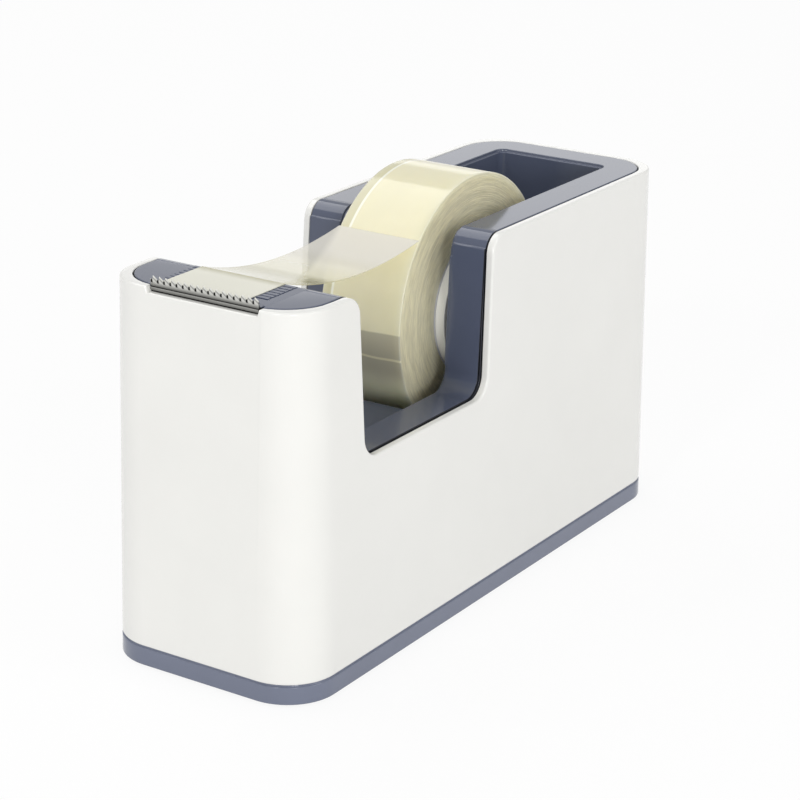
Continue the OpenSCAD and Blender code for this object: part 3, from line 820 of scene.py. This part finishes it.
def shoulder_curve(shell, liner, end, floor):
    """Side view of one half of the saddle, as (y, z): from the floor's middle round the lower corner, up the
    flat face that stands proud, over a small round at the crease, then round the shoulder's arc and on to the
    level rim. Without a floor the flat face goes straight down to the shelf. end is 1 at the rear and -1 at
    the front, where the same curve is mirrored."""
    edge = shell.cut_rear if end > 0 else -shell.cut_front
    skin, soft, overlap, level = 0.015 * MM, 0.25 * MM, 0.05 * MM, 0.3 * MM
    stand = liner.proud + skin

    def face(z):
        """Where the cut's leaning edge lies at a height."""
        return edge + (z - shell.cut_floor) * math.tan(shell.cut_lean)

    if floor:
        low_r = shell.cut_low_r - liner.proud
        low_z = shell.cut_floor + skin + low_r
        corner = arc((face(low_z) - stand - low_r, low_z), low_r, -QUARTER, shell.cut_lean, 16)
        middle = end * (shell.cut_front + shell.cut_rear) / 2
        start = np.vstack([[[middle, corner[0, 1]]], corner])
    else:
        shelf = shell.cut_floor - liner.shelf_drop
        start = np.array([[face(shelf) - stand, shelf]])
    crease = TOP_Z - liner.crease
    top_z = crease - soft
    ledge = arc((face(top_z) - stand + soft, top_z), soft, math.pi, QUARTER, 7)
    r = shell.cut_top_r
    centre = (face(TOP_Z - r) + r, TOP_Z - r)
    turned = math.pi - math.asin((crease + overlap - centre[1]) / r)
    bend = arc(centre, r + skin, turned, QUARTER, 24)
    outer = np.vstack([start, ledge, bend, [[centre[0] + level, TOP_Z + skin]]])
    return outer * (end, 1)


def saddle_grid(shell, liner, low, high):
    """The saddle's skin over one pair of arms: its front and rear curves in one line, carried along X."""
    front, rear = (shoulder_curve(shell, liner, end, True) for end in (-1, 1))
    outer = np.vstack([front[::-1], rear[1:]])
    inner = np.vstack([front[::-1] - SKIN_DEPTH, rear[1:] + (SKIN_DEPTH, -SKIN_DEPTH)])
    return along_x(outer, inner, low, high)


def deck_bars(shell, liner):
    """Bars by name, each with its two values of y, z and x and its edge radius: the shelf in the well, the
    deck's lip behind the cutter, its plates before and beside the ribs, and the ribs from the rear on."""
    lift, lip_depth, left_reach = 0.01 * MM, 0.2 * MM, 1.6 * MM
    shelf_edge, deck_edge = 0.6 * MM, 0.08 * MM
    shelf_gap, blade_gap, lip_gap, end_gap = 0.1 * MM, 0.15 * MM, 0.04 * MM, 0.05 * MM
    rib_gap, side_gap = 0.4 * MM, 0.12 * MM
    shelf, deck = shell.cut_floor - liner.shelf_drop, TOP_Z + lift
    front, last = BLADE_HIGH[1] + blade_gap, liner.rib_end
    behind = BLADE_HIGH[1] - sizes("blade").ahead + lip_gap
    plate_end = last - (liner.ribs - 1) * liner.rib_pitch - liner.rib_width - rib_gap
    left, right = STRIP_LOW[0] - left_reach, STRIP_HIGH[0] + liner.rib_reach
    plate = (deck - SKIN_DEPTH, deck)
    bars = {
        "well_shelf": ((shell.cut_front + shelf_gap, liner.shelf_end), (shelf - SKIN_DEPTH, shelf),
                       (-liner.well_half, liner.well_half), shelf_edge),
        "deck_lip": ((behind, front), (deck - lip_depth, deck),
                     (BLADE_LOW[0], BLADE_HIGH[0] - end_gap), deck_edge),
        "deck_front": ((front, plate_end), plate, (liner.deck_left, liner.deck_right), deck_edge),
        "deck_side": ((plate_end, last), plate, (right + side_gap, liner.deck_right), deck_edge)}
    for i in range(liner.ribs):
        y = last - i * liner.rib_pitch
        bars[f"grip_rib_{i + 1}"] = ((y - liner.rib_width, y), (deck - SKIN_DEPTH, deck + liner.rib_rise),
                                     (left, right), deck_edge)
    return bars


# Operators

class DISPENSER_OT_shell(Operator):
    """Build the white shell with its rounded rim, side cuts and notch"""
    bl_idname = "dispenser.shell"
    bl_label = "Shell"

    def execute(self, context):
        grid = shell_grid(sizes("shell"))
        add_piece("shell_skin", grid, "stand", white_gloss(), ("outer_shell",))
        return {"FINISHED"}


class DISPENSER_OT_liner(Operator):
    """Soften the edges of the liner and the base, and give them their satin finish, with painted shade in the
    gap round the liner
    """
    bl_idname = "dispenser.liner"
    bl_label = "Liner and base"

    def execute(self, context):
        shell, liner = sizes("shell"), sizes("liner")
        gap = 0.3 * MM
        inset = shell.wall + gap
        # Outline of the liner inside the shell; the satin paints shade past it, in the gap between liner and
        # shell
        gap_shade_outline = (*(top_half(shell) - inset).tolist(), shell.corner - inset + shell.ease)
        soft_copy("liner_skin", "well_liner", liner.soft_edge, "stand",
                  slate_satin("liner_satin", liner.colour, gap_shade_outline))
        soft_copy("base_skirt", "base_plate", liner.soft_edge, "stand",
                  slate_satin("base_satin", liner.base_colour))
        return {"FINISHED"}


class DISPENSER_OT_saddle(Operator):
    """Build the saddle's rounded shoulders, the shelf in the well, and the deck with its ribs"""
    bl_idname = "dispenser.saddle"
    bl_label = "Saddle"

    def execute(self, context):
        shell, liner = sizes("shell"), sizes("liner")
        satin = bpy.data.materials["liner_satin"]
        front = shoulder_curve(shell, liner, -1, False)
        skins = {"saddle_right": saddle_grid(shell, liner, liner.arm_in, liner.arm_out),
                 "saddle_left": saddle_grid(shell, liner, -liner.arm_out, -liner.arm_in),
                 "saddle_front": along_x(front, front - SKIN_DEPTH, -liner.arm_in, liner.arm_in)}
        for name, skin in skins.items():
            soften(add_piece(name, skin, "stand", satin, wrap_cols=False), 0.1 * MM)
        for name, bar in deck_bars(shell, liner).items():
            add_piece(name, bar_grid(*bar), "stand", satin, wrap_cols=False)
        return {"FINISHED"}


class DISPENSER_OT_cutter(Operator):
    """Build the serrated cutter"""
    bl_idname = "dispenser.cutter"
    bl_label = "Cutter"

    def execute(self, context):
        grid = blade_grid(sizes("blade"))
        add_piece("cutter", grid, "stand", ground_steel(), ("cutter_blade",), wrap_cols=False)
        return {"FINISHED"}


class DISPENSER_OT_spool(Operator):
    """Build the roll and its core, and finish the hub and axle"""
    bl_idname = "dispenser.spool"
    bl_label = "Spool"

    def execute(self, context):
        roll = about_axle(roll_profile(sizes("tape")), count=192)
        add_piece("roll", roll, "spool", wound_tape(), ("tape_roll",))
        core_wall, edge = 1.5 * MM, 0.2 * MM
        core = ring_profile(CORE_LOW[0], CORE_HIGH[0], CORE_R - core_wall, CORE_R, edge)
        add_piece("core", about_axle(core, count=128), "spool",
                  pale_plastic("core_plastic", (0.86, 0.86, 0.87)), ("tape_core",))
        pale = pale_plastic("hub_plastic", (0.97, 0.97, 0.955))
        for name, node, body in (("hub_half_left", "hub_left", "spool"),
                                 ("hub_half_right", "hub_right", "spool"),
                                 ("axle_pin", "axle", "spindle")):
            soft_copy(name, node, 0.15 * MM, body, pale)
        bore, gap, near, far = 11.0 * MM, 0.25 * MM, 0.05 * MM, 2.2 * MM
        collar = ring_profile(ROLL_HIGH[0] + near, ROLL_HIGH[0] + far, bore, CORE_R - gap, edge)
        add_piece("hub_collar", about_axle(collar, count=128), "spool", pale)
        return {"FINISHED"}


class DISPENSER_OT_film(Operator):
    """Build the free tape from the roll to the cutter"""
    bl_idname = "dispenser.film"
    bl_label = "Free tape"

    def execute(self, context):
        rows = film_grid(sizes("tape"))
        clear = clear_film()
        span, end = rows[:FREE_ROWS], rows[FREE_ROWS - 1:]
        film = add_piece("film", span, "spindle", clear, ("tape_strip",), wrap_rows=False)
        film.visible_shadow = False
        add_piece("tape_end", end, "spindle", clear, wrap_rows=False)
        return {"FINISHED"}


class DISPENSER_OT_fixings(Operator):
    """Finish the feet, the screws and the ballast"""
    bl_idname = "dispenser.fixings"
    bl_label = "Feet, screws and ballast"

    def execute(self, context):
        rubber = soft_rubber()
        for end in ("front", "rear"):
            for hand in ("left", "right"):
                soft_copy(f"pad_{end}_{hand}", f"foot_{end}_{hand}", 0.3 * MM, "stand", rubber)
        soft_copy("screws", "base_screws", 0.15 * MM, "stand",
                  plain_steel("screw_steel", (0.78, 0.78, 0.79), 0.25))
        soft_copy("ballast", "ballast_block", 0.4 * MM, "stand",
                  plain_steel("ballast_iron", (0.40, 0.40, 0.41), 0.5))
        return {"FINISHED"}


class DISPENSER_OT_stage(Operator):
    """Set the floor, the light and the camera"""
    bl_idname = "dispenser.stage"
    bl_label = "Stage"

    def execute(self, context):
        place_camera(sizes("stage"))
        make_floor()
        make_light()
        return {"FINISHED"}


def place_camera(s):
    """Puts the camera at the photograph's place: yaw round the object, pitch down, then its own tilt."""
    level = math.cos(s.pitch)
    back = np.array([math.sin(s.yaw) * level, -math.cos(s.yaw) * level, math.sin(s.pitch)])
    right = np.array([math.cos(s.yaw), math.sin(s.yaw), 0.0])
    up = np.cross(back, right)
    c, n = math.cos(s.roll), math.sin(s.roll)
    turned = np.column_stack([c * right + n * up, c * up - n * right, back])
    data = bpy.data.cameras.new("camera")
    data.lens = s.focal
    data.sensor_width = 36.0
    data.clip_start, data.clip_end = 0.01, 50.0
    made = new_object("camera", data)
    made.matrix_world = standing(s.eye, turned)
    bpy.context.scene.camera = made


def white_rays(tree):
    """1 for the rays that show the background as plain white: seen, mirrored or passed through."""
    seen, mirrored, passed = (tree.node("ShaderNodeLightPath", out=k)
                              for k in ("Is Camera Ray", "Is Glossy Ray", "Is Transmission Ray"))
    return seen.math("MAXIMUM", mirrored).math("MAXIMUM", passed)


def make_floor():
    """A wide pale floor that shows as the white background, with the object's shadow on it."""
    made, tree = new_material("floor")
    paint = tree.node("ShaderNodeBsdfDiffuse", {"Color": (0.85, 0.85, 0.85, 1.0)})
    white = tree.node("ShaderNodeEmission", {"Strength": 1.02})
    share = white_rays(tree) * 0.88
    both = tree.node("ShaderNodeMixShader", {0: share, 1: paint, 2: white})
    tree.node("ShaderNodeOutputMaterial", {"Surface": both})
    half = 4.0
    corners = [(-half, -half, 0), (half, -half, 0), (half, half, 0), (-half, half, 0)]
    mesh = bpy.data.meshes.new("floor")
    mesh.from_pydata(corners, [], [(0, 1, 2, 3)])
    mesh.materials.append(made)
    floor = new_object("floor", mesh)


def add_lamp(name, spot, aim, width, height, power):
    """An area lamp at a spot, facing a point, with its width and height in metres and its power in watts."""
    data = bpy.data.lights.new(name, "AREA")
    data.shape = "RECTANGLE"
    data.size, data.size_y = width, height
    data.energy = power
    away = unit(np.array(spot) - np.array(aim))
    side = unit(np.cross((0.0, 0.0, 1.0), away))
    turned = np.column_stack([side, np.cross(away, side), away])
    new_object(name, data).matrix_world = standing(spot, turned)


def from_side(azimuth, elevation, distance):
    """A spot at an azimuth from the front towards +X and an elevation, in degrees, and its aim."""
    a, e = math.radians(azimuth), math.radians(elevation)
    towards = np.array((math.sin(a) * math.cos(e), -math.cos(a) * math.cos(e), math.sin(e)))
    return np.array(LAMP_AIM) + distance * towards, LAMP_AIM


def make_light():
    """Soft studio light: plain surroundings, an overhead bank, three soft lamps round the front and a bright
    card behind, which the level rims mirror."""
    scene = bpy.context.scene
    scene.view_settings.view_transform = "Standard"
    world = bpy.data.worlds.new("studio")
    scene.world = world
    world.use_nodes = True
    world.node_tree.nodes.clear()
    tree = Shade(world.node_tree)
    plain = tree.node("ShaderNodeBackground", {"Strength": 0.62})
    white = tree.node("ShaderNodeBackground", {"Strength": 1.0})
    both = tree.node("ShaderNodeMixShader", {0: white_rays(tree), 1: plain, 2: white})
    tree.node("ShaderNodeOutputWorld", {"Surface": both})
    add_lamp("overhead", (-0.60, 0.05, 0.90), LAMP_AIM, 1.0, 0.36, 2.7)
    add_lamp("front", *from_side(8.0, 30.0, 1.2), 0.14, 0.14, 2.7)
    add_lamp("key", *from_side(48.0, 10.0, 1.2), 0.24, 0.24, 2.8)
    add_lamp("right", *from_side(95.0, 30.0, 1.2), 0.40, 0.40, 2.0)
    add_lamp("rear_card", (-0.62, 1.0, 0.33), (-0.62, 0.0, 0.33), 0.84, 0.26, 0.46)


class DISPENSER_PT_panel(Panel):
    """Sizes, colours and build steps of the dispenser"""
    bl_idname = "DISPENSER_PT_panel"
    bl_label = "Tape dispenser"
    bl_space_type = "VIEW_3D"
    bl_region_type = "UI"
    bl_category = "Dispenser"

    def draw(self, context):
        for step in STEPS:
            self.layout.operator(step.bl_idname)
        for group, holder in GROUPS.items():
            self.layout.label(text=group.capitalize())
            for name in holder.__annotations__:
                self.layout.prop(sizes(group), name)


STEPS = (DISPENSER_OT_stage, DISPENSER_OT_shell, DISPENSER_OT_liner, DISPENSER_OT_saddle, DISPENSER_OT_cutter,
         DISPENSER_OT_spool, DISPENSER_OT_film, DISPENSER_OT_fixings)


def register():
    """Registers the classes and puts the sizes on the scene."""
    for holder in (*GROUPS.values(), *STEPS, DISPENSER_PT_panel):
        bpy.utils.register_class(holder)
    for group, holder in GROUPS.items():
        setattr(bpy.types.Scene, "dispenser_" + group, PointerProperty(type=holder))


def unregister():
    """Takes away what register added."""
    for group in GROUPS:
        delattr(bpy.types.Scene, "dispenser_" + group)
    for holder in (DISPENSER_PT_panel, *STEPS, *GROUPS.values()):
        bpy.utils.unregister_class(holder)


def main():
    """Builds the dispenser step by step."""
    register()
    for step in STEPS:
        family, name = step.bl_idname.split(".")
        getattr(getattr(bpy.ops, family), name)()


if __name__ == "__main__":
    main()
